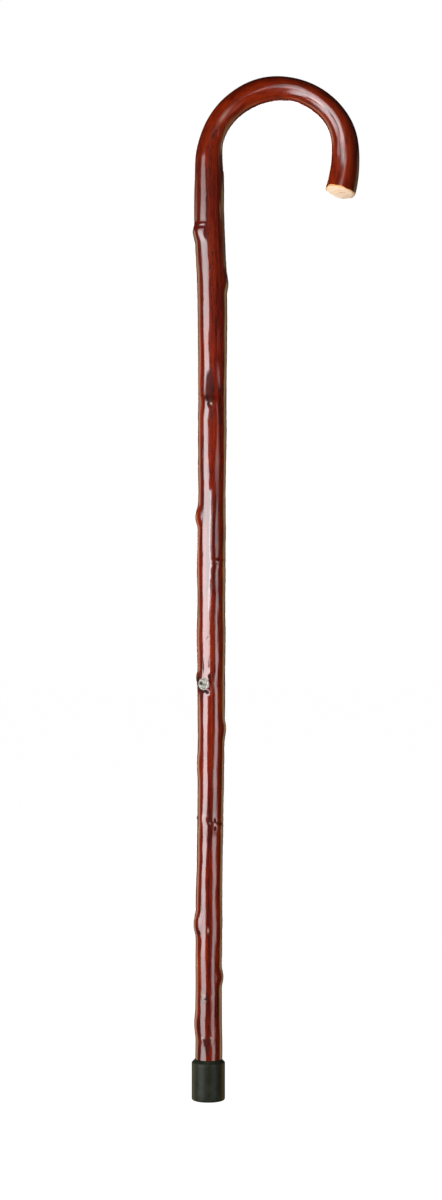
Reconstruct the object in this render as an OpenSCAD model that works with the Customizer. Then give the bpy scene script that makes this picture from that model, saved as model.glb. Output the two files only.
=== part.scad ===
// A crook stick: one natural pole with its knots left on, steamed and bent to
// a hook at the top. The nose of the hook is trimmed to bare wood, and the foot
// is turned down to a tip that pushes into a rubber ferrule with a steel washer.
// Millimetres. The origin is the centre of the ferrule's sole, on the ground.
// +Z runs up the pole, +X towards the hook's nose, -Y towards the front.

/* [Pole] */
// Height from the ground to the top of the crook
overall_h = 921; // [800:0.5:1000]
// Diameter of the pole just above the ferrule
foot_d = 24.2; // [23.4:0.1:25.4]
// Diameter of the pole half way up
mid_d = 25.7; // [23.5:0.1:28]
// Diameter of the pole under the crook
top_d = 27; // [25:0.1:30]

/* [Crook] */
// Thickness across the bend where the crook leaves the pole
throat_t = 22; // [19:0.1:26]
// Thickness across the bend at the crown
crown_t = 22.9; // [20:0.1:28]
// Thickness across the bend beyond the crown
front_t = 21.2; // [19:0.1:26]
// Thickness across the bend at the nose
nose_t = 27.2; // [22:0.1:30]
// Width of the crook from its front to its back
crook_w = 25.8; // [22:0.1:30]
// Bend radius at the back of the hook, on the centreline
back_r = 65; // [50:1:90]
// Bend radius going up to the crown
rise_r = 63.5; // [50:1:90]
// Bend radius coming down from the crown
fall_r = 62; // [50:1:90]
// Bend radius at the front of the hook
front_r = 51.5; // [40:0.5:80]
// Bend radius of the last stretch to the nose
nose_r = 115; // [80:5:250]
// Bevel round the cut end of the nose
nose_bevel = 2.2; // [0.5:0.1:4]
// Angle by which the cut end is turned to the front
nose_tilt = 13; // [0:1:20]

/* [Knots] */
// Diameter of the sawn branch stub
stub_d = 11; // [7:0.5:14]
// Height of the sawn stub above the pole's surface
stub_rise = 1.7; // [0.8:0.1:3]

/* [Tip and ferrule] */
// Diameter of the turned tip
tip_d = 22; // [18:0.1:22.4]
// Gap between the tip and the socket wall, all round
socket_gap = 0.05; // [0.02:0.01:0.1]
// Outside diameter of the ferrule
ferrule_d = 30; // [29:0.1:36]
// Height of the ferrule
ferrule_h = 37; // [30:0.5:50]
// Slope round the ferrule's mouth, both ways
mouth_bevel = 3; // [1:0.1:3.2]
// Rounding round the edge of the sole
sole_round = 1.5; // [0.5:0.1:2.5]
// Thickness of rubber under the washer
sole_t = 5.5; // [4:0.5:9]
// Width of a groove in the sole
groove_w = 1.6; // [1:0.1:2]
// Depth of a groove in the sole
groove_depth = 1.2; // [0.5:0.1:2.5]
// Distance from one groove to the next
groove_pitch = 4.2; // [3:0.1:4.6]

/* [Washer] */
// Thickness of the washer
washer_t = 1.5; // [1:0.1:3]
// Diameter of the washer's hole
washer_hole_d = 6; // [3:0.5:12]
// Gap between the washer and the socket wall, all round
washer_gap = 0.5; // [0.2:0.1:1]

/* [Hidden] */
$fn = 96;

wood = [0.42, 0.10, 0.05];
rubber = [0.13, 0.14, 0.12];
steel = [0.66, 0.67, 0.68];

// The hook is a chain of arcs: the radius and the turn of each, in degrees.
bends = [[back_r, 43.5], [rise_r, 46.5], [fall_r, 44.5], [front_r, 40], [nose_r, 22]];

function arc_len(bend) = bend[0] * bend[1] * PI / 180;
function total(list, i = 0) = i >= len(list) ? 0 : list[i] + total(list, i + 1);

hook_len = total([for (bend = bends) arc_len(bend)]);
hook_rise = back_r * sin(bends[0][1]) + rise_r * (1 - cos(bends[1][1]));
pole_h = overall_h - crown_t / 2 - hook_rise;
stick_end = pole_h + hook_len;

// A place along the stick: 0 at the ground, 1 where the hook begins, 2 at the nose.
function station(t) = t <= 1 ? t * pole_h : pole_h + (t - 1) * hook_len;
function stations(table) = [for (row = table) [station(row[0]), row[1]]];

// Thickness in the plane of the hook, along the stick.
thickness = stations([
    [0, foot_d], [0.05, foot_d], [0.11, 0.977 * foot_d], [0.19, foot_d], [0.29, 0.98 * foot_d], [0.36, foot_d],
    [0.48, mid_d], [0.59, mid_d], [0.65, 0.985 * mid_d], [0.71, 1.015 * mid_d], [0.76, mid_d],
    [0.84, top_d], [0.965, top_d],
    [1, (top_d + throat_t) / 2], [1.08, throat_t], [1.24, throat_t], [1.42, crown_t],
    [1.54, front_t], [1.68, 1.02 * front_t], [1.87, (front_t + 3 * nose_t) / 4], [2, nose_t]
]);

// Width from front to back, along the stick.
width = stations([
    [0, foot_d], [0.36, foot_d], [0.48, mid_d], [0.66, mid_d], [0.84, top_d], [0.965, top_d],
    [1.1, crook_w], [1.8, crook_w], [2, nose_t]
]);

// The pole's natural sway: how far its centre strays, as shares of its diameter.
sway_x = stations([
    [0, 0.016], [0.15, 0.016], [0.25, 0.046], [0.38, 0.102], [0.52, 0.102], [0.77, 0.145], [0.86, 0.135],
    [0.94, 0.03], [1, 0.022], [1.15, 0.01]
]);
sway_y = stations([[0, 0], [0.1, 0], [0.3, 0.05], [0.55, -0.04], [0.8, 0.05], [1, 0]]);

// Knots: place, bearing (0 towards the nose, 270 to the front), rise, reach up, reach down and
// spread in degrees. A rise below zero is a hollow. Lengths are shares of the pole's middle diameter.
knots = [
    [0.065, 258, 0.020, 0.12, 0.30, 40], [0.080, 180, 0.042, 0.55, 0.55, 55],
    [0.111, 262, 0.014, 0.10, 0.25, 35], [0.1315, 348, 0.062, 0.38, 0.42, 50],
    [0.1875, 192, 0.082, 0.54, 0.55, 55], [0.250, 82, 0.040, 0.40, 0.60, 50],
    [0.293, 303, 0.034, 0.16, 0.40, 50], [0.301, 228, 0.018, 0.16, 0.40, 40],
    [0.356, 180, 0.028, 0.62, 0.62, 50], [0.396, 355, 0.046, 0.34, 0.50, 50],
    [0.446, 232, 0.048, 0.50, 0.42, 70], [0.451, 190, 0.036, 0.22, 0.36, 45],
    [0.500, 100, 0.046, 0.36, 0.56, 50],
    [0.572, 305, 0.030, 0.16, 0.45, 50], [0.6205, 183, 0.078, 0.46, 0.42, 50],
    [0.704, 42, 0.030, 0.50, 0.60, 50], [0.743, 266, 0.055, 0.24, 0.70, 50],
    [0.760, 256, -0.034, 0.90, 0.50, 70], [0.812, 110, 0.040, 0.36, 0.56, 50],
    [0.868, 354, 0.048, 0.62, 0.34, 50], [0.9235, 202, 0.080, 0.36, 0.44, 75],
    [0.985, 0, 0.024, 0.20, 1.40, 60],
    [1.130, 279, 0.024, 0.24, 0.36, 45], [1.170, 322, -0.026, 0.60, 0.60, 35],
    [1.466, 335, 0.018, 0.20, 0.20, 40], [1.720, 262, -0.040, 2.60, 2.60, 62]
];

stub_place = 0.443;
stub_bearing = 243;

// Facets of the pole: sides of a ring, the gap between rings, and how much closer they lie at a knot.
sides = 24;
ring_gap = 8;
knot_rings = 2;

tip_end = sole_t + washer_t;
socket_d = tip_d + 2 * socket_gap;
washer_d = socket_d - 2 * washer_gap;
tip_root = ferrule_h + foot_d / 4;

// A smooth curve through a table of [place, value] rows, held level beyond its ends.
function slope(table, i) =
    let (a = max(i - 1, 0), b = min(i + 1, len(table) - 1))
    (i == 0 || i == len(table) - 1) ? 0 : (table[b][1] - table[a][1]) / (table[b][0] - table[a][0]);
function row_below(s, table, i = 0) =
    (i >= len(table) - 2 || s < table[i + 1][0]) ? i : row_below(s, table, i + 1);
function value(s, table) =
    let (
        i = row_below(s, table),
        span = table[i + 1][0] - table[i][0],
        k = min(max((s - table[i][0]) / span, 0), 1),
        rest = 1 - k
    )
    table[i][1] * (1 + 2 * k) * rest * rest + slope(table, i) * span * k * rest * rest
    + table[i + 1][1] * (3 - 2 * k) * k * k - slope(table, i + 1) * span * k * k * rest;

// A point of the hook's centreline, and its heading in degrees above +X.
function hook_point(s, i = 0, x = 0, z = pole_h, heading = 90) =
    let (r = bends[i][0], cx = x + r * sin(heading), cz = z - r * cos(heading))
    (s <= arc_len(bends[i]) || i == len(bends) - 1)
    ? let (h = heading - s / r * 180 / PI) [cx - r * sin(h), cz + r * cos(h), h]
    : let (h = heading - bends[i][1])
      hook_point(s - arc_len(bends[i]), i + 1, cx - r * sin(h), cz + r * cos(h), h);

function sway(s) = [value(s, sway_x) * mid_d, value(s, sway_y) * mid_d];
function centre(s) =
    s <= pole_h ? [sway(s)[0], sway(s)[1], s]
    : let (p = hook_point(s - pole_h)) [p[0] + sway(s)[0], sway(s)[1], p[1]];
function heading(s) = s <= pole_h ? 90 : hook_point(s - pole_h)[2];

// Radius at a bearing: an oval section with the knots raised on it.
function bell(x) = abs(x) >= 1 ? 0 : pow(1 - x * x, 2);
function turn(a, b) = let (d = abs(a - b) % 360) min(d, 360 - d);
function swelling(s, bearing) = mid_d * total([
    for (k = knots)
        let (rise = s - station(k[0]), reach = (rise > 0 ? k[3] : k[4]) * mid_d)
        k[2] * bell(rise / reach) * bell(turn(bearing, k[1]) / k[5])
]);
function oval(s, bearing) =
    let (a = value(s, thickness) / 2, b = value(s, width) / 2)
    a * b / sqrt(pow(b * cos(bearing), 2) + pow(a * sin(bearing), 2));

// The nose is cut square to the hook and then turned to the front, over its last stretch.
function nose_share(s) = min(max((s - stick_end) / nose_t + 1, 0), 1);

function skin_point(s, bearing, inset) =
    let (
        h = heading(s),
        r = oval(s, bearing) + swelling(s, bearing) - inset,
        across = r * cos(bearing),
        back = r * sin(bearing),
        along = back * tan(nose_tilt) * nose_share(s)
    )
    centre(s) + across * [sin(h), 0, -cos(h)] + [0, back, 0] + along * [cos(h), 0, sin(h)];

function at_knot(s) = len([for (k = knots) if (abs(s + ring_gap / 2 - station(k[0])) < mid_d / 2) k]) > 0;

ring_count = round((stick_end - nose_bevel - ferrule_h) / ring_gap);
ring_step = (stick_end - nose_bevel - ferrule_h) / ring_count;
rings = [
    for (i = [0 : ring_count - 1])
        let (s = ferrule_h + i * ring_step, n = at_knot(s) ? knot_rings : 1)
        for (k = [0 : n - 1]) s + k * ring_step / n
];

module skin() {
    loops = concat([for (s = rings) [s, 0]], [[stick_end - nose_bevel, 0], [stick_end, nose_bevel]]);
    last = len(loops) - 1;
    points = [for (loop = loops) for (k = [0 : sides - 1]) skin_point(loop[0], k * 360 / sides, loop[1])];
    walls = [
        for (i = [0 : last - 1])
            for (k = [0 : sides - 1])
                let (a = i * sides, b = a + sides, n = (k + 1) % sides)
                each [[a + k, b + k, b + n], [a + k, b + n, a + n]]
    ];
    foot = [for (k = [0 : sides - 1]) k];
    nose = [for (k = [sides - 1 : -1 : 0]) last * sides + k];
    polyhedron(points, concat([foot], walls, [nose]));
}

module stub() {
    s = station(stub_place);
    translate(centre(s))
        rotate([0, 0, stub_bearing])
            rotate([0, 90, 0])
                cylinder(d = stub_d, h = value(s, thickness) / 2 + stub_rise);
}

module tip() {
    translate([0, 0, tip_end])
        cylinder(d = tip_d, h = tip_root - tip_end);
}

module stick() {
    color(wood)
        union() {
            skin();
            stub();
            tip();
        }
}

module ferrule_section() {
    r = ferrule_d / 2;
    difference() {
        square([r, ferrule_h]);
        translate([0, sole_t])
            square([socket_d / 2, ferrule_h]);
        translate([r - mouth_bevel, ferrule_h])
            polygon([[0, 0], [mouth_bevel, 0], [mouth_bevel, -mouth_bevel]]);
        difference() {
            translate([r - sole_round, 0])
                square(sole_round);
            translate([r - sole_round, sole_round])
                circle(sole_round);
        }
        for (i = [1 : 2])
            translate([i * groove_pitch, 0])
                square([groove_w, groove_depth]);
    }
}

module ferrule() {
    color(rubber)
        rotate_extrude()
            ferrule_section();
}

module ferrule_washer() {
    color(steel)
        translate([0, 0, sole_t])
            rotate_extrude()
                translate([washer_hole_d / 2, 0])
                    square([(washer_d - washer_hole_d) / 2, washer_t]);
}

stick();
ferrule();
ferrule_washer();
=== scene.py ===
"""A crook stick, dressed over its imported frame.

One natural pole is steamed to a hook at its top and varnished dark. Its knots are left on, one of them
as a sawn stub, its nose is cut to bare wood, and its foot pushes into a rubber ferrule with a steel
washer. Everything is in metres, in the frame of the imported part: the origin is the centre of the
ferrule's sole, +Z runs up the pole, +X towards the nose and -Y towards the front.
"""

import logging
import math
from collections.abc import Callable, Iterator, Sequence
from contextlib import contextmanager
from dataclasses import dataclass
from enum import Enum

import bmesh
import bpy
import numpy as np
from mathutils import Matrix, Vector, noise

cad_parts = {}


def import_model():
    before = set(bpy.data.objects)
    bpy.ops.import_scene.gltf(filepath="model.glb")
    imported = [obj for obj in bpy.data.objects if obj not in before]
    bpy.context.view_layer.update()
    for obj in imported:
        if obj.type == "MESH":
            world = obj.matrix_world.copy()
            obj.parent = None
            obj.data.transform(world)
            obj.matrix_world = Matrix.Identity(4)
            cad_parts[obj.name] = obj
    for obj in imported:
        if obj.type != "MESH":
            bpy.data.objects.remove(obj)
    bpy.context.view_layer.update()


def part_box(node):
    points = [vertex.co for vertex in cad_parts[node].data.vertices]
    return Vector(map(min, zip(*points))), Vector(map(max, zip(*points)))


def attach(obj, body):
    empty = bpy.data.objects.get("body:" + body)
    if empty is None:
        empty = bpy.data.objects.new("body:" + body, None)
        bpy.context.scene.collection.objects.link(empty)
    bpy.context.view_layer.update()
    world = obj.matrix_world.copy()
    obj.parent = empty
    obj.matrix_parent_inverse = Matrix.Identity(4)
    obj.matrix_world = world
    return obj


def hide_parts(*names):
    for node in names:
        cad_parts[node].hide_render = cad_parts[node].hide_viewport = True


log = logging.getLogger("crook_stick")

MM = 0.001
STICK_BODY = "stick"
FERRULE_BODY = "ferrule"

# The place between the crown and the nose that the crook's lamps face.
CROOK = (0.10, 0.0, 0.88)

Colour = tuple[float, float, float]
Rows = Sequence[tuple[float, float]]


class Part(Enum):
    """The element of a mesh that a selection works on."""

    VERT = "verts"
    EDGE = "edges"
    FACE = "faces"


@contextmanager
def editing(piece: bpy.types.Object, part: Part = Part.VERT) -> Iterator[None]:
    """Keeps one piece alone in edit mode, with nothing in it selected at the start.

    Args:
        piece: The mesh object to shape.
        part: The element that selections work on.
    """
    bpy.ops.object.select_all(action="DESELECT")
    bpy.context.view_layer.objects.active = piece
    piece.select_set(True)
    bpy.ops.object.mode_set(mode="EDIT")
    bpy.ops.mesh.select_mode(type=part.name)
    bpy.ops.mesh.select_all(action="DESELECT")
    try:
        yield
    finally:
        bpy.ops.object.mode_set(mode="OBJECT")


def pick(piece: bpy.types.Object, part: Part, wanted: Callable[..., bool]) -> None:
    """Selects only the elements of a piece in edit mode that pass a test.

    Args:
        piece: The piece that is in edit mode.
        part: Which elements are tested.
        wanted: Says of one bmesh element whether it is selected.
    """
    bpy.ops.mesh.select_all(action="DESELECT")
    mesh = bmesh.from_edit_mesh(piece.data)
    for element in getattr(mesh, part.value):
        if wanted(element):
            element.select_set(True)
    mesh.select_flush_mode()
    bmesh.update_edit_mesh(piece.data)


def settle(piece: bpy.types.Object, name: str) -> bpy.types.Object:
    """Names a new primitive and puts its place into its mesh.

    Args:
        piece: The primitive that was just added.
        name: The maker's name for the piece.

    Returns:
        The same object, at the origin, unturned and unscaled.
    """
    bpy.ops.object.select_all(action="DESELECT")
    piece.select_set(True)
    bpy.context.view_layer.objects.active = piece
    bpy.ops.object.transform_apply(location=True, rotation=True, scale=True)
    piece.name = name
    piece.data.name = name
    return piece


def face_outwards(piece: bpy.types.Object, merge: float) -> None:
    """Merges doubled points and turns every face outwards.

    Args:
        piece: The piece to clean.
        merge: Distance under which two points are one.
    """
    with editing(piece):
        bpy.ops.mesh.select_all(action="SELECT")
        bpy.ops.mesh.remove_doubles(threshold=merge)
        bpy.ops.mesh.normals_make_consistent(inside=False)


def smooth(piece: bpy.types.Object, angle: float) -> None:
    """Shades a piece smooth, with edges sharper than an angle kept crisp.

    Args:
        piece: The piece to shade.
        angle: Angle in degrees above which an edge stays crisp.
    """
    bpy.ops.object.select_all(action="DESELECT")
    piece.select_set(True)
    bpy.context.view_layer.objects.active = piece
    bpy.ops.object.shade_smooth_by_angle(angle=math.radians(angle))


def apply_bevel(piece: bpy.types.Object, width: float, segments: int, angle: float) -> None:
    """Rounds the sharp edges of a piece with a bevel modifier, applied.

    Args:
        piece: The piece to round.
        width: Width of the bevel.
        segments: Number of faces across the round.
        angle: Angle in degrees above which an edge is rounded.
    """
    rounding = piece.modifiers.new("rounded_edges", "BEVEL")
    rounding.width = width
    rounding.segments = segments
    rounding.limit_method = "ANGLE"
    rounding.angle_limit = math.radians(angle)
    bpy.context.view_layer.objects.active = piece
    bpy.ops.object.modifier_apply(modifier=rounding.name)


def smooth_curve(places: np.ndarray, rows: Rows) -> np.ndarray:
    """Reads a smooth curve through a table, held level beyond its ends.

    Args:
        places: Where the curve is read.
        rows: Place and value of each point of the curve, in rising order.

    Returns:
        The value at each place.
    """
    at, value = (np.array(column, float) for column in zip(*rows))
    slope = np.zeros(len(rows))
    slope[1:-1] = (value[2:] - value[:-2]) / (at[2:] - at[:-2])
    row = np.clip(np.searchsorted(at, places, side="right") - 1, 0, len(rows) - 2)
    span = at[row + 1] - at[row]
    k = np.clip((places - at[row]) / span, 0, 1)
    rest = 1 - k
    below = value[row] * (1 + 2 * k) * rest**2 + slope[row] * span * k * rest**2
    above = value[row + 1] * (3 - 2 * k) * k**2 - slope[row + 1] * span * k**2 * rest
    return below + above


def bell(x: np.ndarray) -> np.ndarray:
    """A smooth hump: 1 at 0, falling to 0 at -1 and 1 and staying there."""
    return np.where(np.abs(x) >= 1, 0.0, (1 - x**2) ** 2)


def turn_between(a: np.ndarray, b: float) -> np.ndarray:
    """The signed turn in degrees from bearing b to each bearing of a, between -180 and 180."""
    return (a - b + 180) % 360 - 180


class Wiring:
    """The node tree of a material, a lamp or the surroundings, with short calls to add and join nodes."""

    def __init__(self, owner: bpy.types.ID, kind: str) -> None:
        """Starts a tree with nothing in it but its output.

        Args:
            owner: The material, light or world.
            kind: Material, Light or World.
        """
        owner.use_nodes = True
        self.owner = owner
        self.tree = owner.node_tree
        self.tree.nodes.clear()
        self.output = self.add("Output" + kind)

    @classmethod
    def material(cls, name: str) -> "Wiring":
        """Starts a new material's tree."""
        return cls(bpy.data.materials.new(name), "Material")

    def add(self, kind: str, **settings: object) -> bpy.types.Node:
        """Adds a node and sets its plain properties.

        Args:
            kind: The node type's name, without its ShaderNode prefix.
            settings: Properties of the node by name.

        Returns:
            The new node.
        """
        node = self.tree.nodes.new("ShaderNode" + kind)
        for name, value in settings.items():
            setattr(node, name, value)
        return node

    def join(self, source: bpy.types.NodeSocket, target: bpy.types.NodeSocket) -> None:
        """Links one socket to another."""
        self.tree.links.new(source, target)

    def fill(self, socket: bpy.types.NodeSocket, value: object) -> None:
        """Feeds a socket from another socket, or sets it to a number or a colour of three numbers."""
        if isinstance(value, bpy.types.NodeSocket):
            self.join(value, socket)
        elif socket.type == "RGBA":
            socket.default_value = (*value, 1)
        else:
            socket.default_value = value

    def grain(self, attribute: str) -> bpy.types.NodeSocket:
        """Reads a vector attribute of the mesh."""
        return self.add("Attribute", attribute_name=attribute).outputs["Vector"]

    def amount(self, attribute: str) -> bpy.types.NodeSocket:
        """Reads a plain number attribute of the mesh."""
        return self.add("Attribute", attribute_name=attribute).outputs["Fac"]

    def place(self) -> bpy.types.NodeSocket:
        """Reads the point's place in the frame."""
        return self.add("TexCoord").outputs["Object"]

    def scaled(self, source: bpy.types.NodeSocket, scale: Sequence[float]) -> bpy.types.NodeSocket:
        """Multiplies coordinates by a factor along each axis.

        Args:
            source: The coordinates.
            scale: Factor along each axis.

        Returns:
            The socket of the scaled coordinates.
        """
        node = self.add("VectorMath", operation="MULTIPLY")
        self.join(source, node.inputs[0])
        node.inputs[1].default_value = scale
        return node.outputs[0]

    def cloud(
        self, at: bpy.types.NodeSocket, scale: float = 1, detail: float = 3, roughness: float = 0.55
    ) -> bpy.types.NodeSocket:
        """Adds soft noise, from 0 to 1.

        Args:
            at: The coordinates.
            scale: How many lumps lie in one unit.
            detail: How many finer layers are added.
            roughness: How strong the finer layers are.

        Returns:
            The noise's value.
        """
        lumps = self.add("TexNoise")
        self.join(at, lumps.inputs["Vector"])
        lumps.inputs["Scale"].default_value = scale
        lumps.inputs["Detail"].default_value = detail
        lumps.inputs["Roughness"].default_value = roughness
        return lumps.outputs["Fac"]

    def stretch(
        self, source: bpy.types.NodeSocket, low: float, high: float, to_low: float = 0, to_high: float = 1
    ) -> bpy.types.NodeSocket:
        """Spreads a range of values over another one, smoothly and with its ends held.

        Args:
            source: The value.
            low: Start of its range.
            high: End of its range.
            to_low: Result at the start.
            to_high: Result at the end.

        Returns:
            The new value.
        """
        spread = self.add("MapRange", interpolation_type="SMOOTHSTEP")
        for socket, value in zip(spread.inputs, (source, low, high, to_low, to_high)):
            self.fill(socket, value)
        return spread.outputs["Result"]

    def sum(self, operation: str, *values: object) -> bpy.types.NodeSocket:
        """Works out a sum of up to three values.

        Args:
            operation: The name of the Math node's operation.
            values: Sockets or plain numbers.

        Returns:
            The result.
        """
        node = self.add("Math", operation=operation)
        for socket, value in zip(node.inputs, values):
            self.fill(socket, value)
        return node.outputs[0]

    def plus(self, base: object, extra: bpy.types.NodeSocket, share: float) -> bpy.types.NodeSocket:
        """Adds a share of one value to another."""
        return self.sum("MULTIPLY_ADD", extra, share, base)

    def blend(self, share: object, first: object, second: object) -> bpy.types.NodeSocket:
        """Mixes two colours.

        Args:
            share: How much of the second colour, from 0 to 1.
            first: The first colour, as a socket or three numbers.
            second: The second colour.

        Returns:
            The mixed colour.
        """
        node = self.add("Mix", data_type="RGBA")
        for socket, value in ((0, share), (6, first), (7, second)):
            self.fill(node.inputs[socket], value)
        return node.outputs[2]

    def relief(self, height: bpy.types.NodeSocket, depth: float) -> bpy.types.NodeSocket:
        """Turns a height into a bump.

        Args:
            height: The height, as a share of the depth.
            depth: Depth of the relief in metres.

        Returns:
            The bumped normal.
        """
        bump = self.add("Bump")
        bump.inputs["Distance"].default_value = depth
        self.join(height, bump.inputs["Height"])
        return bump.outputs["Normal"]

    def surface(self, **settings: object) -> bpy.types.Material:
        """Ends the tree in a Principled surface.

        Args:
            settings: The surface's sockets by name, with underscores for spaces.

        Returns:
            The finished material.
        """
        shader = self.add("BsdfPrincipled")
        for name, value in settings.items():
            self.fill(shader.inputs[name.replace("_", " ")], value)
        self.join(shader.outputs[0], self.output.inputs["Surface"])
        return self.owner

    def shine(self, kind: str, colour: object, strength: object) -> None:
        """Ends a lamp's or the surroundings' tree in its glow.

        Args:
            kind: Emission for a lamp, Background for the surroundings.
            colour: The colour, as a socket or three numbers.
            strength: The strength, as a socket or a number.
        """
        glow = self.add(kind)
        self.fill(glow.inputs["Color"], colour)
        self.fill(glow.inputs["Strength"], strength)
        self.join(glow.outputs[0], self.output.inputs["Surface"])

    def split(self, source: bpy.types.NodeSocket) -> Sequence[bpy.types.NodeSocket]:
        """Takes a vector apart into its X, Y and Z."""
        node = self.add("SeparateXYZ")
        self.join(source, node.inputs[0])
        return node.outputs


@dataclass(frozen=True)
class VarnishedBark:
    """Stained bark under a thick clear varnish, with streaks along the grain and dark scars, painted shade
    on the crook's outer side, over a trough and round a stub, and painted glints on small knots.
    """

    pole_h: float
    hook_len: float
    dark: Colour = (0.046, 0.005, 0.003)
    red: Colour = (0.155, 0.008, 0.001)
    orange: Colour = (0.225, 0.021, 0.002)
    hook_dark: Colour = (0.062, 0.004, 0.001)
    hook_brown: Colour = (0.170, 0.014, 0.002)
    # Painted shade for the outer side of the crook.
    hook_painted_shade: Colour = (0.026, 0.002, 0.001)
    scar: Colour = (0.014, 0.004, 0.003)
    scar_red: Colour = (0.058, 0.005, 0.003)
    # Pale colour for worn spots, for painted glints and for a painted reflection on the crook.
    worn: Colour = (0.600, 0.440, 0.340)
    varnish_roughness: float = 0.09
    grain_depth: float = 0.20 * MM
    film_depth: float = 0.13 * MM

    def make(self) -> bpy.types.Material:
        """Builds the material.

        Returns:
            The varnished bark, which reads the grain, the stains with the painted shade, and the wear with
            the painted glints from the mesh's attributes.
        """
        m = Wiring.material("varnished_bark")
        grain = m.grain("grain")
        streaks = m.cloud(m.scaled(grain, (420, 420, 9)), detail=4, roughness=0.6)
        fibres = m.cloud(m.scaled(grain, (1300, 1300, 70)), detail=2)
        patches = m.cloud(m.scaled(grain, (60, 60, 16)), detail=2)
        mottle = m.cloud(m.scaled(grain, (190, 190, 70)), detail=3)
        pores = m.cloud(m.scaled(grain, (900, 900, 170)), detail=1)
        stain = m.amount("stain")

        tone = m.plus(m.sum("MULTIPLY", streaks, 0.62), patches, 0.38)
        tone = m.plus(tone, m.sum("SUBTRACT", fibres, 0.5), 0.36)
        pole = m.blend(m.stretch(tone, 0.37, 0.50), self.dark, self.red)
        pole = m.blend(m.stretch(tone, 0.50, 0.64), pole, self.orange)
        tone = m.plus(m.sum("MULTIPLY", mottle, 0.6), tone, 0.4)
        hook = m.blend(m.stretch(tone, 0.34, 0.60), self.hook_dark, self.hook_brown)
        across, _, along = m.split(grain)
        # Painted shade: past the crown, the outer side of the crook is darkened towards a near-black
        # brown.
        past_crown = self.on_hook(m, along, 0.12, 0.36)
        outer = m.sum("MULTIPLY", m.stretch(across, -0.0125, -0.0030, 0.80, 0), past_crown)
        hook = m.blend(outer, hook, self.hook_painted_shade)
        under_hook = m.stretch(along, self.pole_h - 0.20, self.pole_h - 0.08, 0, 0.5)
        pole = m.blend(under_hook, pole, self.dark)
        bent = m.stretch(along, self.pole_h - 0.05, self.pole_h + 0.03)
        colour = m.blend(bent, pole, hook)
        specks = m.sum("MULTIPLY", m.stretch(pores, 0.58, 0.70, 0, 0.5), m.stretch(bent, 0, 1, 1, 0.3))
        colour = m.blend(specks, colour, self.dark)
        # The scar colours darken both real scars and painted shade: the trough over the pit, the stub's
        # collar and the side of a bulge.
        scar = m.blend(m.stretch(mottle, 0.42, 0.58), self.scar, self.scar_red)
        colour = m.blend(m.stretch(stain, 0.05, 0.75), colour, scar)
        # Pale wear and painted glints: the pit's speck, the small knots' eyes, the dashes of the V over
        # the ferrule and a painted reflection on the crook.
        colour = m.blend(m.amount("worn"), colour, self.worn)

        # The varnish is rubbed thin where a hand holds the crook, is satin on its shoulder, worn dull at
        # the nose, and sinks into the scars.
        rubbed = self.on_hook(m, along, 0.28, 0.45)
        satin = m.sum("SUBTRACT", self.on_hook(m, along, 0.04, 0.14), self.on_hook(m, along, 0.38, 0.54))
        rough = m.stretch(streaks, 0.3, 0.7, 0.24, 0.15)
        rough = m.plus(m.plus(rough, rubbed, 0.07), stain, 0.35)
        film_left = m.plus(m.plus(1.0, rubbed, -0.25), satin, -0.70)
        at_nose = m.stretch(self.on_hook(m, along, 0.84, 0.95), 0, 1, 1, 0.35)
        in_scars = m.stretch(stain, 0.15, 0.65, 1, 0)
        film_left = m.sum("MULTIPLY", film_left, m.sum("MULTIPLY", at_nose, in_scars))
        height = m.plus(m.sum("MULTIPLY", streaks, 0.7), fibres, 0.3)
        ripples = m.cloud(m.scaled(grain, (330, 330, 60)), detail=2)
        return m.surface(
            Base_Color=colour,
            Roughness=rough,
            Specular_IOR_Level=0.12,
            Normal=m.relief(height, self.grain_depth),
            Coat_Weight=film_left,
            Coat_Roughness=self.varnish_roughness,
            Coat_IOR=1.95,
            Coat_Normal=m.relief(m.plus(ripples, height, 0.4), self.film_depth),
        )

    def on_hook(
        self, m: Wiring, along: bpy.types.NodeSocket, low: float, high: float
    ) -> bpy.types.NodeSocket:
        """Rises from 0 to 1 between two places on the hook.

        Args:
            m: The material's tree.
            along: Distance along the stick.
            low: Start of the rise, as a share of the hook's length.
            high: End of the rise.

        Returns:
            The risen share.
        """
        return m.stretch(along, self.pole_h + low * self.hook_len, self.pole_h + high * self.hook_len)


class Cut(Enum):
    """How a bare face of the wood was made."""

    FRESH = "fresh_cut"
    TURNED = "turned_tip"
    WEATHERED = "sawn_stub"


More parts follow.
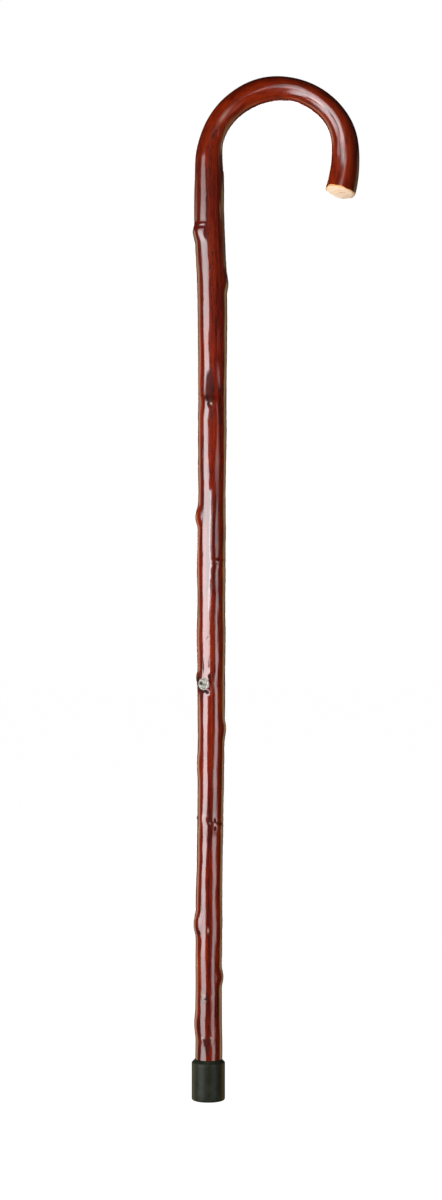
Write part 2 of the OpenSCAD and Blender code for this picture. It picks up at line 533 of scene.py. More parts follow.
@dataclass(frozen=True)
class BareWood:
    """Bare end grain or turned wood, with rings round its pith and the marks of the blade."""

    cut: Cut
    pale: Colour
    deep: Colour
    centre: tuple[float, float, float]
    axis: tuple[float, float, float]
    rim: Colour
    rim_r: float
    ring_gap: float = 1.1 * MM
    ring_share: float = 0.55
    pith_r: float = 0.6 * MM
    blotches: float = 0.2
    wander_w: float = 1.6 * MM
    depth: float = 0.25 * MM
    roughness: float = 0.62

    def make(self) -> bpy.types.Material:
        """Builds the material.

        Returns:
            The bare wood, with its rings centred on the piece's pith.
        """
        m = Wiring.material(self.cut.value)
        turned = m.add("Mapping", vector_type="TEXTURE")
        turned.inputs["Location"].default_value = self.centre
        turned.inputs["Rotation"].default_value = Vector(self.axis).to_track_quat("Z", "Y").to_euler()
        m.join(m.place(), turned.inputs["Vector"])
        at = turned.outputs["Vector"]

        wander = m.cloud(m.scaled(at, (180, 180, 180)), detail=2)
        radius = m.add("VectorMath", operation="LENGTH")
        m.join(m.scaled(at, (1, 1, 0)), radius.inputs[0])
        wavy = m.plus(radius.outputs["Value"], wander, self.wander_w)
        mean = self.wander_w / 2
        rings = m.sum("SINE", m.sum("MULTIPLY", wavy, 2 * math.pi / self.ring_gap))
        rings = m.stretch(rings, -0.6, 1, 0, 1)
        flecks = m.cloud(m.scaled(at, (2600, 2600, 260)), detail=2)
        marks = m.cloud(m.scaled(at, (60, 420, 60)), detail=3)
        lumps = m.cloud(at, scale=620, detail=2)
        pith = m.stretch(wavy, 0.6 * self.pith_r + mean, self.pith_r + mean, 1, 0)
        edge = m.stretch(wavy, self.rim_r + mean - 0.3 * MM, self.rim_r + mean + 0.3 * MM)

        colour = m.blend(m.sum("MULTIPLY", rings, self.ring_share), self.pale, self.deep)
        colour = m.blend(m.stretch(flecks, 0.5, 0.75, 0, 0.5), colour, self.deep)
        colour = m.blend(m.stretch(marks, 0.48, 0.62, 0, 0.75), colour, self.deep)
        colour = m.blend(m.stretch(lumps, 0.48, 0.62, 0, self.blotches), colour, self.deep)
        colour = m.blend(edge, colour, self.rim)
        colour = m.blend(pith, colour, tuple(0.15 * part for part in self.deep))
        height = m.plus(m.plus(m.sum("MULTIPLY", marks, 0.5), flecks, 0.2), lumps, -0.6)
        return m.surface(
            Base_Color=colour,
            Roughness=m.stretch(flecks, 0.3, 0.7, self.roughness, self.roughness + 0.15),
            Specular_IOR_Level=0.3,
            Normal=m.relief(height, self.depth),
        )


@dataclass(frozen=True)
class MouldedRubber:
    """Dark green-grey moulded rubber, a little chalky and scuffed where it rubs."""

    body: Colour = (0.0115, 0.0142, 0.0074)
    chalk: Colour = (0.028, 0.0330, 0.0180)

    def make(self) -> bpy.types.Material:
        """Builds the material.

        Returns:
            The rubber.
        """
        m = Wiring.material("moulded_rubber")
        at = m.place()
        mottle = m.cloud(at, scale=120, detail=4)
        grains = m.cloud(at, scale=2400, detail=2)
        draws = m.cloud(m.scaled(at, (500, 500, 30)), detail=2)
        colour = m.blend(m.stretch(mottle, 0.42, 0.75, 0, 0.55), self.body, self.chalk)
        colour = m.blend(m.stretch(draws, 0.55, 0.8, 0, 0.35), colour, self.chalk)
        height = m.plus(m.sum("MULTIPLY", grains, 0.6), draws, 0.4)
        return m.surface(
            Base_Color=colour,
            Roughness=m.stretch(mottle, 0.3, 0.7, 0.38, 0.50),
            Specular_IOR_Level=0.22,
            Coat_Weight=0.3,
            Coat_IOR=1.3,
            Coat_Roughness=0.33,
            Normal=m.relief(height, 0.08 * MM),
        )


@dataclass(frozen=True)
class PressedSteel:
    """Bright zinc-plated steel, brushed round by the press and dulled by the wood's damp."""

    bright: Colour = (0.62, 0.63, 0.64)
    dull: Colour = (0.36, 0.34, 0.31)

    def make(self) -> bpy.types.Material:
        """Builds the material.

        Returns:
            The steel.
        """
        m = Wiring.material("pressed_steel")
        at = m.place()
        blotches = m.cloud(at, scale=420, detail=4)
        grit = m.cloud(at, scale=5200, detail=2)
        return m.surface(
            Base_Color=m.blend(m.stretch(blotches, 0.45, 0.7), self.bright, self.dull),
            Metallic=1.0,
            Roughness=m.stretch(blotches, 0.35, 0.7, 0.28, 0.5),
            Normal=m.relief(grit, 0.03 * MM),
        )


@dataclass(frozen=True)
class Bend:
    """One arc of the hook: its centreline radius in metres and its sweep in degrees."""

    radius: float
    sweep: float

    @property
    def length(self) -> float:
        """Length of the arc."""
        return self.radius * math.radians(self.sweep)


@dataclass(frozen=True)
class Knot:
    """A swelling of the pole, or a hollow where its rise is below zero.

    The place is 0 at the ground, 1 where the hook begins and 2 at the nose. The bearing is in degrees
    round the pole: 0 towards the nose, 180 away from it and 270 to the front. Rise and reaches are
    shares of the pole's middle diameter.
    """

    place: float
    bearing: float
    rise: float
    up: float
    down: float
    spread: float


@dataclass(frozen=True)
class Scar:
    """A fine mark in the bark: a crease, a pit, a ridge, a stain, a patch of painted shade or a painted
    glint.

    The place and bearing are as a knot's. The lengths are in millimetres: how deep it goes, below zero
    for a ridge, how far it runs along the stick and how far round it. The lean is the climb, and the bow
    the droop at both sides, along its width. The stain, which also paints shade, and the pale wear, which
    also paints glints, are from 0 to 1.
    """

    place: float
    bearing: float
    depth: float
    along: float
    round: float
    lean: float = 0.0
    bow: float = 0.0
    stain: float = 0.0
    worn: float = 0.0


@dataclass
class Pole:
    """The bark-covered pole with its hook, knots, scars and cut nose."""

    overall_h: float = 0.921
    foot_d: float = 0.0242
    mid_d: float = 0.0257
    top_d: float = 0.0270
    throat_t: float = 0.0220
    crown_t: float = 0.0229
    front_t: float = 0.0212
    nose_t: float = 0.0272
    crook_w: float = 0.0258
    nose_tilt: float = 13.0
    # Bearing of each knife cut round the nose's rim, and how far in from the rim it reaches.
    trims: tuple[tuple[float, float], ...] = (
        (8, 0.0012), (52, 0.0022), (97, 0.0014), (135, 0.0022),
        (180, 0.0040), (222, 0.0014), (275, 0.0007), (318, 0.0015),
    )
    # How far each knife cut faces sideways, and how far it faces out of the nose.
    trim_facing: tuple[float, float] = (0.5, 0.866)
    # How far past the end of the nose a point still counts as the hook's.
    past_nose: float = 0.03
    # Height of the bark's broad and fine lumps, and how many lie in a metre across, back and along.
    broad_bark: float = 0.42 * MM
    broad_scale: tuple[float, float, float] = (80, 80, 30)
    fine_bark: float = 0.08 * MM
    fine_scale: tuple[float, float, float] = (330, 330, 60)
    sides: int = 96
    ring_gap: float = 0.0011
    bends: tuple[Bend, ...] = (
        Bend(0.065, 43.5),
        Bend(0.0635, 46.5),
        Bend(0.062, 44.5),
        Bend(0.0515, 40.0),
        Bend(0.115, 22.0),
    )
    knots: tuple[Knot, ...] = (
        Knot(0.065, 258, 0.020, 0.12, 0.30, 40),
        Knot(0.080, 180, 0.042, 0.55, 0.55, 55),
        Knot(0.111, 262, 0.014, 0.10, 0.25, 35),
        Knot(0.1315, 348, 0.062, 0.38, 0.42, 50),
        Knot(0.1875, 192, 0.082, 0.54, 0.55, 55),
        Knot(0.250, 82, 0.040, 0.40, 0.60, 50),
        Knot(0.293, 303, 0.034, 0.16, 0.40, 50),
        Knot(0.301, 228, 0.018, 0.16, 0.40, 40),
        Knot(0.2930, 277, 0.028, 0.50, 0.45, 75),
        Knot(0.356, 180, 0.028, 0.62, 0.62, 50),
        Knot(0.396, 355, 0.046, 0.34, 0.50, 50),
        Knot(0.446, 232, 0.048, 0.50, 0.42, 70),
        Knot(0.451, 190, 0.036, 0.22, 0.36, 45),
        Knot(0.500, 100, 0.046, 0.36, 0.56, 50),
        Knot(0.572, 305, 0.030, 0.16, 0.45, 50),
        Knot(0.6205, 183, 0.078, 0.46, 0.42, 50),
        Knot(0.704, 42, 0.030, 0.50, 0.60, 50),
        Knot(0.743, 266, 0.055, 0.24, 0.70, 50),
        Knot(0.760, 256, -0.034, 0.90, 0.50, 70),
        Knot(0.812, 110, 0.040, 0.36, 0.56, 50),
        Knot(0.868, 354, 0.048, 0.62, 0.34, 50),
        Knot(0.9235, 202, 0.080, 0.36, 0.44, 75),
        Knot(0.985, 0, 0.024, 0.20, 1.40, 60),
        Knot(1.130, 279, 0.024, 0.24, 0.36, 45),
        Knot(1.170, 322, -0.026, 0.60, 0.60, 35),
        Knot(1.466, 335, 0.018, 0.20, 0.20, 40),
        Knot(1.720, 262, -0.040, 2.60, 2.60, 62),
    )
    scars: tuple[Scar, ...] = (
        # The ledge under the crook: a bright lip over a red crease, and painted shade on the dark side of
        # its bulge.
        Scar(0.9306, 246, -0.32, 0.8, 4.0, bow=0.3),
        Scar(0.9282, 240, 0.50, 0.7, 5.4, bow=0.3, stain=0.70),
        Scar(0.9205, 257, 0.12, 3.2, 0.7, stain=0.45),
        Scar(0.9130, 205, 0.0, 7.0, 2.2, stain=0.35),
        # The eye knot on the front of the crook, a pale streak past it that is a painted reflection, and
        # the bud scar under the crown.
        Scar(1.1131, 278, 0.35, 1.5, 1.2, stain=1.0),
        Scar(1.1250, 262, 0.10, 3.4, 1.1, stain=0.60),
        Scar(1.0900, 274, 0.06, 4.2, 1.6, stain=0.80),
        Scar(1.1800, 276, 0.0, 9.0, 1.5, worn=0.26),
        Scar(1.4600, 338, 0.35, 0.8, 1.8, stain=1.0),
        Scar(1.5000, 350, 0.0, 5.5, 1.4, stain=0.35, worn=0.10),
        # The pit above the middle with a painted glint in it, the trough over it, darkened with painted
        # shade, and the pale ridge that runs off below it.
        Scar(0.7398, 261, 1.10, 2.2, 1.7, stain=1.0),
        Scar(0.7401, 265, -0.25, 0.8, 0.6, worn=1.0),
        Scar(0.7570, 278, 0.80, 10.0, 5.6),
        Scar(0.7590, 262, 0.0, 10.0, 4.0, stain=1.0),
        Scar(0.7460, 260, 0.10, 3.6, 4.2, stain=1.0),
        Scar(0.7540, 259, 0.10, 6.0, 4.0, stain=1.0),
        Scar(0.7660, 258, 0.05, 8.0, 3.2, stain=0.85),
        Scar(0.7310, 290, -0.26, 6.5, 0.9, lean=-3.5),
        Scar(0.7290, 268, 0.16, 7.0, 1.8, stain=0.60),
        # Fine dark cracks along the grain.
        Scar(0.6700, 254, 0.10, 9.0, 0.35, stain=0.75),
        Scar(0.6560, 257, 0.10, 8.0, 0.30, stain=0.65),
        # The crease below the middle with a painted glint on it, and the dashes under it.
        Scar(0.5716, 287, 0.28, 0.7, 4.4, lean=-0.4, stain=0.55),
        Scar(0.5722, 290, -0.18, 0.6, 0.8, worn=0.55),
        Scar(0.5690, 276, 0.0, 3.4, 2.4, stain=0.35),
        Scar(0.4917, 253, 0.12, 0.5, 1.4, lean=0.5, stain=0.70),
        Scar(0.4905, 250, 0.10, 0.4, 0.9, lean=0.5, stain=0.60),
        # The sawn stub's dark collar, partly a crack round its foot and partly painted shade under it and
        # at its upper right, and the cracks that run up and down from it.
        Scar(0.4358, 233, 0.60, 1.5, 5.0, bow=0.9, stain=1.0),
        Scar(0.4354, 226, 0.30, 1.3, 2.6, lean=-0.5, stain=1.0),
        Scar(0.4340, 253, 0.30, 1.6, 1.6, stain=1.0),
        Scar(0.4510, 263, 0.30, 1.9, 1.7, stain=1.0),
        Scar(0.4455, 267, 0.20, 4.0, 0.9, stain=0.80),
        Scar(0.4460, 214, 0.25, 7.0, 1.6, stain=0.95),
        Scar(0.4420, 203, 0.0, 12.0, 2.6, stain=0.70),
        Scar(0.4620, 236, 0.12, 7.0, 0.6, stain=1.0),
        Scar(0.4290, 222, 0.15, 6.0, 1.2, stain=1.0),
        Scar(0.4177, 277, -0.10, 0.7, 0.7, stain=0.35),
        # The small knot with a pale eye, which is a painted glint, and a dark notch on the right, and the
        # left one across from it.
        Scar(0.2941, 289, -0.20, 0.8, 0.8, worn=1.0),
        Scar(0.2985, 290, 0.20, 2.4, 1.3, stain=1.0),
        Scar(0.2896, 290, 0.20, 2.4, 1.4, stain=1.0),
        Scar(0.2947, 317, 1.00, 0.9, 3.0, stain=1.0),
        Scar(0.3000, 184, -0.60, 0.8, 1.6, lean=-0.8, stain=0.90),
        # The bulge with a pale spindle beside it and a dark foot.
        Scar(0.1787, 222, 0.45, 2.0, 1.6, stain=1.0),
        Scar(0.1850, 214, 0.10, 5.0, 0.9, stain=0.65),
        Scar(0.1817, 266, 0.18, 2.9, 1.3, stain=0.60),
        Scar(0.1817, 266, -0.22, 1.9, 0.6, worn=0.80),
        # The crease with a pale end, and the branching scar over the ferrule with two painted glints at
        # the top of its V.
        Scar(0.1095, 246, 0.22, 0.5, 1.9, stain=0.30),
        Scar(0.1100, 242, -0.15, 0.45, 0.8, worn=0.45),
        Scar(0.1089, 258, 0.35, 0.8, 1.7, lean=0.3, stain=0.85),
        Scar(0.1110, 262, 0.10, 5.0, 0.8, stain=0.60),
        Scar(0.0650, 250, 0.22, 0.7, 2.8, lean=-2.6, stain=1.0),
        Scar(0.0655, 270, 0.22, 0.7, 2.8, lean=2.6, stain=1.0),
        Scar(0.0636, 259, 0.10, 5.2, 3.2, stain=0.85),
        Scar(0.0676, 242, -0.05, 0.9, 0.55, worn=0.95),
        Scar(0.0680, 280, -0.05, 0.9, 0.6, worn=0.95),
        Scar(0.0560, 265, 0.15, 6.5, 1.9, stain=0.80),
        Scar(0.0770, 269, 0.08, 5.5, 1.4, stain=0.75),
    )

    def __post_init__(self) -> None:
        """Works out the lengths along the stick and places the tables on them."""
        self.hook_len = sum(bend.length for bend in self.bends)
        first, second = self.bends[:2]
        rise = first.radius * math.sin(math.radians(first.sweep))
        rise += second.radius * (1 - math.cos(math.radians(second.sweep)))
        self.pole_h = self.overall_h - self.crown_t / 2 - rise
        self.end = self.pole_h + self.hook_len
        mid, foot, top, throat, nose = self.mid_d, self.foot_d, self.top_d, self.throat_t, self.nose_t
        front = self.front_t
        self.thickness = self.stations(
            (0, foot), (0.05, foot), (0.11, 0.977 * foot), (0.19, foot), (0.29, 0.98 * foot), (0.36, foot),
            (0.48, mid), (0.59, mid), (0.65, 0.985 * mid), (0.71, 1.015 * mid), (0.76, mid),
            (0.84, top), (0.965, top), (1, (top + throat) / 2), (1.08, throat), (1.24, throat),
            (1.42, self.crown_t), (1.54, front), (1.68, 1.02 * front), (1.87, (front + 3 * nose) / 4),
            (2, nose),
        )
        self.width = self.stations(
            (0, foot), (0.36, foot), (0.48, mid), (0.66, mid), (0.84, top), (0.965, top),
            (1.1, self.crook_w), (1.8, self.crook_w), (2, nose),
        )
        self.sway_x = self.stations(
            (0, 0.016), (0.15, 0.016), (0.25, 0.046), (0.38, 0.102), (0.52, 0.102), (0.77, 0.145),
            (0.86, 0.135), (0.94, 0.03), (1, 0.022), (1.15, 0.01),
        )
        self.sway_y = self.stations((0, 0), (0.1, 0), (0.3, 0.05), (0.55, -0.04), (0.8, 0.05), (1, 0))

    def station(self, place: float) -> float:
        """Distance along the stick of a place given as a knot's is."""
        return place * self.pole_h if place <= 1 else self.pole_h + (place - 1) * self.hook_len

    def stations(self, *rows: tuple[float, float]) -> Rows:
        """Turns the places of a table into distances along the stick."""
        return [(self.station(place), value) for place, value in rows]

    def arcs(self) -> Iterator[tuple[Bend, float, float, float, float]]:
        """Walks the hook's arcs.

        Yields:
            Each arc with its start along the stick, its start heading in degrees above +X, and the
            place in X and Z of its centre.
        """
        start, heading, x, z = self.pole_h, 90.0, 0.0, self.pole_h
        for bend in self.bends:
            h = math.radians(heading)
            cx, cz = x + bend.radius * math.sin(h), z - bend.radius * math.cos(h)
            yield bend, start, heading, cx, cz
            start, heading = start + bend.length, heading - bend.sweep
            h = math.radians(heading)
            x, z = cx - bend.radius * math.sin(h), cz + bend.radius * math.cos(h)

    def centreline(self, s: np.ndarray) -> tuple[np.ndarray, np.ndarray]:
        """Finds the middle of the stick and its heading.

        Args:
            s: Distances along the stick.

        Returns:
            The points of the middle, and the headings in radians above +X.
        """
        middle = np.stack([np.zeros_like(s), np.zeros_like(s), s], 1)
        heading = np.full_like(s, math.pi / 2)
        last = self.bends[-1]
        for bend, start, at, cx, cz in self.arcs():
            here = (s >= start) & ((s < start + bend.length) | (bend is last))
            h = math.radians(at) - (s[here] - start) / bend.radius
            middle[here, 0] = cx - bend.radius * np.sin(h)
            middle[here, 2] = cz + bend.radius * np.cos(h)
            heading[here] = h
        middle[:, 0] += smooth_curve(s, self.sway_x) * self.mid_d
        middle[:, 1] += smooth_curve(s, self.sway_y) * self.mid_d
        return middle, heading

    def unbend(self, points: np.ndarray) -> tuple[np.ndarray, np.ndarray]:
        """Finds where points of the plain tube lie on the straight stick.

        Args:
            points: Points on the tube as it was spun, before it is given its natural form.

        Returns:
            The distance along the stick and the bearing in degrees of each point.
        """
        x, y, z = points.T
        s, across = z.copy(), x.copy()
        slack = 0.02 * self.ring_gap
        for bend, start, at, cx, cz in self.arcs():
            dx, dz = x - cx, z - cz
            turned = math.radians(at) - np.arctan2(-dx, dz)
            # A point more than half a radian short of the arc's start has gone round past its end.
            turned = np.where(turned < -0.5, turned + 2 * math.pi, turned)
            run = turned * bend.radius
            off = np.hypot(dx, dz) - bend.radius
            reach = bend.length + slack + (self.past_nose if bend is self.bends[-1] else 0)
            ours = (np.abs(off) < self.top_d) & (run > slack) & (run <= reach)
            ours &= (start > self.pole_h) | (z > self.pole_h)
            s = np.where(ours, start + run, s)
            across = np.where(ours, -off, across)
        return s, np.degrees(np.arctan2(y, across)) % 360

    def swelling(self, s: np.ndarray, bearing: np.ndarray) -> np.ndarray:
        """Adds up the knots at points of the stick.

        Args:
            s: Distances along the stick.
            bearing: Bearings in degrees.

        Returns:
            How far the surface stands out at each point.
        """
        total = np.zeros_like(s)
        for knot in self.knots:
            rise = s - self.station(knot.place)
            reach = np.where(rise > 0, knot.up, knot.down) * self.mid_d
            aside = turn_between(bearing, knot.bearing) / knot.spread
            total += knot.rise * bell(rise / reach) * bell(aside)
        return total * self.mid_d

    def oval(self, s: np.ndarray, bearing: np.ndarray) -> np.ndarray:
        """Radius of the plain oval section at points of the stick."""
        a, b = smooth_curve(s, self.thickness) / 2, smooth_curve(s, self.width) / 2
        beta = np.radians(bearing)
        return a * b / np.sqrt((b * np.cos(beta)) ** 2 + (a * np.sin(beta)) ** 2)

    def scarring(self, s: np.ndarray, bearing: np.ndarray) -> tuple[np.ndarray, np.ndarray, np.ndarray]:
        """Adds up the fine marks at points of the stick.

        Args:
            s: Distances along the stick.
            bearing: Bearings in degrees.

        Returns:
            How deep the surface is cut, how dark it is made by stains and painted shade, and how pale by
            wear and painted glints, each from 0 to 1.
        """
        depth, clear, whole = np.zeros_like(s), np.ones_like(s), np.ones_like(s)
        radius = self.mid_d / 2
        for scar in self.scars:
            aside = np.radians(turn_between(bearing, scar.bearing)) * radius / MM / scar.round
            rise = (s - self.station(scar.place)) / MM - scar.lean * aside + scar.bow * aside**2
            mark = np.exp(-((rise / scar.along) ** 2) - aside**2)
            depth += scar.depth * MM * mark
            clear *= 1 - scar.stain * mark
            whole *= 1 - scar.worn * mark
        return depth, 1 - clear, 1 - whole

    def bark(self, grain: np.ndarray) -> np.ndarray:
        """Works out the bark's unevenness.

        Args:
            grain: Points of the straight stick.

        Returns:
            How far the surface stands out at each point.
        """
        apart = Vector((7, 3, 1))
        broad = [noise.noise(Vector(point)) for point in grain * self.broad_scale]
        fine = [noise.noise(Vector(point) + apart) for point in grain * self.fine_scale]
        return np.array(broad) * self.broad_bark + np.array(fine) * self.fine_bark

    def spin_tube(self) -> bpy.types.Object:
        """Draws the plain tube: a ring spun round each arc of the hook, then extruded down the pole.

        Returns:
            The open tube.
        """
        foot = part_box("ferrule")[1].z
        stretches = 8
        stretch = (self.pole_h - foot) / stretches
        bpy.ops.mesh.primitive_circle_add(
            vertices=self.sides, radius=self.mid_d / 2, location=(0, 0, self.pole_h)
        )
        pole = settle(bpy.context.object, "pole")
        with editing(pole):
            bpy.ops.mesh.select_all(action="SELECT")
            for bend, _, _, cx, cz in self.arcs():
                sweep = bend.sweep
                if bend is self.bends[-1]:
                    sweep += math.degrees(self.nose_spare / bend.radius)
                bpy.ops.mesh.spin(
                    steps=round(bend.radius * math.radians(sweep) / self.ring_gap),
                    angle=math.radians(sweep),
                    center=(cx, 0, cz),
                    axis=(0, -1, 0),
                )
            pick(pole, Part.VERT, lambda v: abs(v.co.z - self.pole_h) < 0.01 * MM and v.co.x < self.mid_d)
            for _ in range(stretches):
                bpy.ops.mesh.extrude_region_move(TRANSFORM_OT_translate={"value": (0, 0, -stretch)})
            bpy.ops.mesh.select_mode(type="EDGE")
            pick(pole, Part.EDGE, lambda e: abs(e.verts[0].co.z - e.verts[1].co.z) > stretch / 2)
            bpy.ops.mesh.subdivide(number_cuts=round(stretch / self.ring_gap) - 1)
        return pole

    @property
    def nose_spare(self) -> float:
        """How far the tube runs past the end of the nose before it is cut."""
        return self.nose_t * math.tan(math.radians(self.nose_tilt)) * 0.75

    def grow(self, pole: bpy.types.Object) -> None:
        """Moves the tube's points to the stick's natural form and keeps their grain, their stains with the
        painted shade, and their wear with the painted glints.

        Args:
            pole: The plain tube.
        """
        count = len(pole.data.vertices)
        points = np.zeros(count * 3)
        pole.data.vertices.foreach_get("co", points)
        s, bearing = self.unbend(points.reshape(-1, 3))
        beta = np.radians(bearing)
        ring = self.mid_d / 2
        grain = np.stack([ring * np.cos(beta), ring * np.sin(beta), s], 1)
        depth, stain, worn = self.scarring(s, bearing)
        radius = self.oval(s, bearing) + self.swelling(s, bearing) - depth + self.bark(grain)
        middle, heading = self.centreline(s)
        across, back = radius * np.cos(beta), radius * np.sin(beta)
        moved = middle + np.stack([across * np.sin(heading), back, -across * np.cos(heading)], 1)
        pole.data.vertices.foreach_set("co", moved.ravel())
        kept = pole.data.attributes
        kept.new("grain", "FLOAT_VECTOR", "POINT").data.foreach_set("vector", grain.ravel())
        kept.new("stain", "FLOAT", "POINT").data.foreach_set("value", stain)
        kept.new("worn", "FLOAT", "POINT").data.foreach_set("value", worn)
        pole.data.update()

    def nose_frame(self) -> tuple[Vector, Vector, Vector, Vector]:
        """Finds the cut end of the nose.

        Returns:
            Its middle, the way out of the cut, and the two ways across it: to the inside of the hook
            and to the back.
        """
        middle, heading = self.centreline(np.array([self.end]))
        h, tilt = heading[0], math.radians(self.nose_tilt)
        along, back = Vector((math.cos(h), 0, math.sin(h))), Vector((0, 1, 0))
        out = along * math.cos(tilt) - back * math.sin(tilt)
        inner = Vector((math.sin(h), 0, -math.cos(h)))
        return Vector(middle[0]), out, inner, back * math.cos(tilt) + along * math.sin(tilt)

    def cut_nose(self, pole: bpy.types.Object) -> None:
        """Saws the nose off, trims its rim with a knife and leaves the bare faces in their own slot.

        Args:
            pole: The grown tube.
        """
        middle, out, inner, back = self.nose_frame()
        reach = 1.6 * self.nose_t
        planes = [(middle, out)]
        sideways, outwards = self.trim_facing
        for bearing, width in self.trims:
            side = inner * math.cos(math.radians(bearing)) + back * math.sin(math.radians(bearing))
            place = middle + side * (self.nose_t / 2 - width)
            planes.append((place, side * sideways + out * outwards))
        with editing(pole, Part.FACE):
            for place, normal in planes:
                pick(pole, Part.FACE, lambda f: (f.calc_center_median() - middle).length < reach)
                bpy.ops.mesh.bisect(
                    plane_co=place, plane_no=normal, use_fill=True, clear_outer=True, threshold=1e-6
                )
        cuts = [normal for _, normal in planes]
        flat = 0.9995
        for face in pole.data.polygons:
            near = (face.center - middle).length < self.nose_t
            if near and any(face.normal.dot(normal) > flat for normal in cuts):
                face.material_index = 1

    def close_foot(self, pole: bpy.types.Object) -> None:
        """Closes the tube at the ferrule's mouth, where the turned tip goes on down."""
        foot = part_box("ferrule")[1].z
        with editing(pole):
            pick(pole, Part.VERT, lambda v: abs(v.co.z - foot) < self.ring_gap / 2 and v.co.x < self.mid_d)
            bpy.ops.mesh.edge_face_add()
            bpy.ops.mesh.inset(thickness=self.mid_d / 8)

    def build(self, bark: bpy.types.Material, bare: bpy.types.Material) -> bpy.types.Object:
        """Makes the whole pole.

        Args:
            bark: The varnished finish.
            bare: The finish of the cut nose.

        Returns:
            The dressed pole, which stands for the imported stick.
        """
        pole = self.spin_tube()
        self.grow(pole)
        pole.data.materials.append(bark)
        pole.data.materials.append(bare)
        self.close_foot(pole)
        face_outwards(pole, 0.01 * MM)
        self.cut_nose(pole)
        smooth(pole, 40)
        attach(pole, STICK_BODY)
        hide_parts("stick")
        return pole


@dataclass
class BranchStub:
    """The sawn end of a side branch, with its rim of bark, its checks and its pith."""

    pole: Pole
    place: float = 0.4432
    bearing: float = 240.0
    diameter: float = 0.011
    rise: float = 0.0017
    # Inset and rise of each step of the sawn face, from its rim inwards.
    steps: tuple[tuple[float, float], ...] = (
        (0.5 * MM, 0.35 * MM), (1.4 * MM, -0.15 * MM), (1.7 * MM, -0.10 * MM),
    )
    pith_left: float = 2.2 * MM
    pith_up: float = 0.5 * MM
    lumpiness: float = 0.07
    lump_scale: float = 1.2
    narrowing: float = 0.10
    unevenness: float = 0.35 * MM
    uneven_scale: float = 420.0
    sides: int = 40

    def frame(self) -> tuple[Vector, Vector]:
        """Finds the stub.

        Returns:
            The point of the pole's middle that it grows from, and the way that it points.
        """
        middle, _ = self.pole.centreline(np.array([self.pole.station(self.place)]))
        beta = math.radians(self.bearing)
        return Vector(middle[0]), Vector((math.cos(beta), math.sin(beta), 0))

    def face_at(self) -> Vector:
        """The middle of the stub's sawn face."""
        root, out = self.frame()
        thickness = smooth_curve(np.array([self.pole.station(self.place)]), self.pole.thickness)[0]
        return root + out * (thickness / 2 + self.rise)

    def pith_at(self) -> Vector:
        """The place of the pith, a little aside of the middle of the sawn face."""
        _, out = self.frame()
        left = out.cross(Vector((0, 0, 1)))
        return self.face_at() + left * self.pith_left + Vector((0, 0, self.pith_up))

    def weather(self, stub: bpy.types.Object) -> None:
        """Makes the rim lumpy and the face uneven.

        Args:
            stub: The stub, shaped but still regular.
        """
        root, out = self.frame()
        round_pole = out.cross(Vector((0, 0, 1)))
        for vertex in stub.data.vertices:
            from_root = vertex.co - root
            aside = from_root - out * from_root.dot(out)
            lump = noise.noise(aside.normalized() * self.lump_scale + Vector((3, 1, 4)))
            uneven = noise.noise(vertex.co * self.uneven_scale)
            narrowed = round_pole * aside.dot(round_pole) * -self.narrowing
            vertex.co += aside * self.lumpiness * lump + narrowed + out * self.unevenness * uneven

    def build(self, finish: bpy.types.Material) -> bpy.types.Object:
        """Makes the stub.

        Args:
            finish: The weathered end grain, whose pale grey face and pale rim are partly a painted
                reflection.

        Returns:
            The dressed stub.
        """
        root, out = self.frame()
        face = self.face_at()
        length = (face - root).length
        bpy.ops.mesh.primitive_cylinder_add(
            vertices=self.sides,
            radius=self.diameter / 2,
            depth=length,
            location=(root + face) / 2,
            rotation=out.to_track_quat("Z", "Y").to_euler(),
        )
        stub = settle(bpy.context.object, "branch_stub")
        with editing(stub, Part.FACE):
            pick(stub, Part.FACE, lambda f: f.normal.dot(out) > 0.9)
            for inset, rise in self.steps:
                bpy.ops.mesh.inset(thickness=inset)
                bpy.ops.transform.translate(value=out * rise)
        self.weather(stub)
        stub.data.materials.append(finish)
        smooth(stub, 50)
        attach(stub, STICK_BODY)
        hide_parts("stick")
        return stub


@dataclass
class TurnedTip:
    """The foot of the stick, turned down to push into the ferrule's socket."""

    diameter: float = 0.022
    chamfer: float = 0.0012
    sides: int = 96

    def build(self, finish: bpy.types.Material) -> bpy.types.Object:
        """Makes the tip.

        Args:
            finish: The turned wood.

        Returns:
            The dressed tip, which runs on up inside the pole.
        """
        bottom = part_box("stick")[0].z
        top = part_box("ferrule")[1].z + self.diameter / 4
        bpy.ops.mesh.primitive_circle_add(
            vertices=self.sides, radius=self.diameter / 2 - self.chamfer, location=(0, 0, bottom)
        )
        tip = settle(bpy.context.object, "turned_tip")
        widen = self.diameter / (self.diameter - 2 * self.chamfer)
        with editing(tip):
            bpy.ops.mesh.select_all(action="SELECT")
            bpy.ops.mesh.edge_face_add()
            bpy.ops.mesh.extrude_region_move(TRANSFORM_OT_translate={"value": (0, 0, self.chamfer)})
            bpy.ops.transform.resize(value=(widen, widen, 1))
            length = top - bottom - self.chamfer
            bpy.ops.mesh.extrude_region_move(TRANSFORM_OT_translate={"value": (0, 0, length)})
        face_outwards(tip, 0.01 * MM)
        tip.data.materials.append(finish)
        smooth(tip, 30)
        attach(tip, STICK_BODY)
        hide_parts("stick")
        return tip


